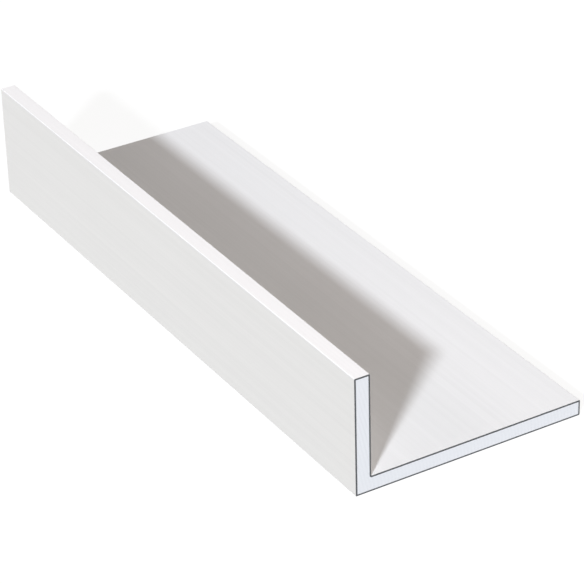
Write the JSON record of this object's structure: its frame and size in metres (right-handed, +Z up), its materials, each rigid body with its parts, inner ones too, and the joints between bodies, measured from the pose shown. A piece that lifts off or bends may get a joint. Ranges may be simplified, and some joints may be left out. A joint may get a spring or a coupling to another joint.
{
  "type": "angle profile",
  "caption": "Short length of white rigid PVC angle profile with an unequal L section: a wide leg lying flat and a narrow leg standing along one edge.",
  "frame": {"origin": "on the underside of the wide leg, at the middle of its width and of the strip's length", "axes": "+X across the wide leg, away from the upright leg, +Y along the strip, +Z up the narrow leg"},
  "size_m": [0.03, 0.085, 0.015],
  "materials": {
    "white_pvc": "satin"
  },
  "bodies": {
    "root": {"angle_profile": "white_pvc"}
  },
  "joints": []
}
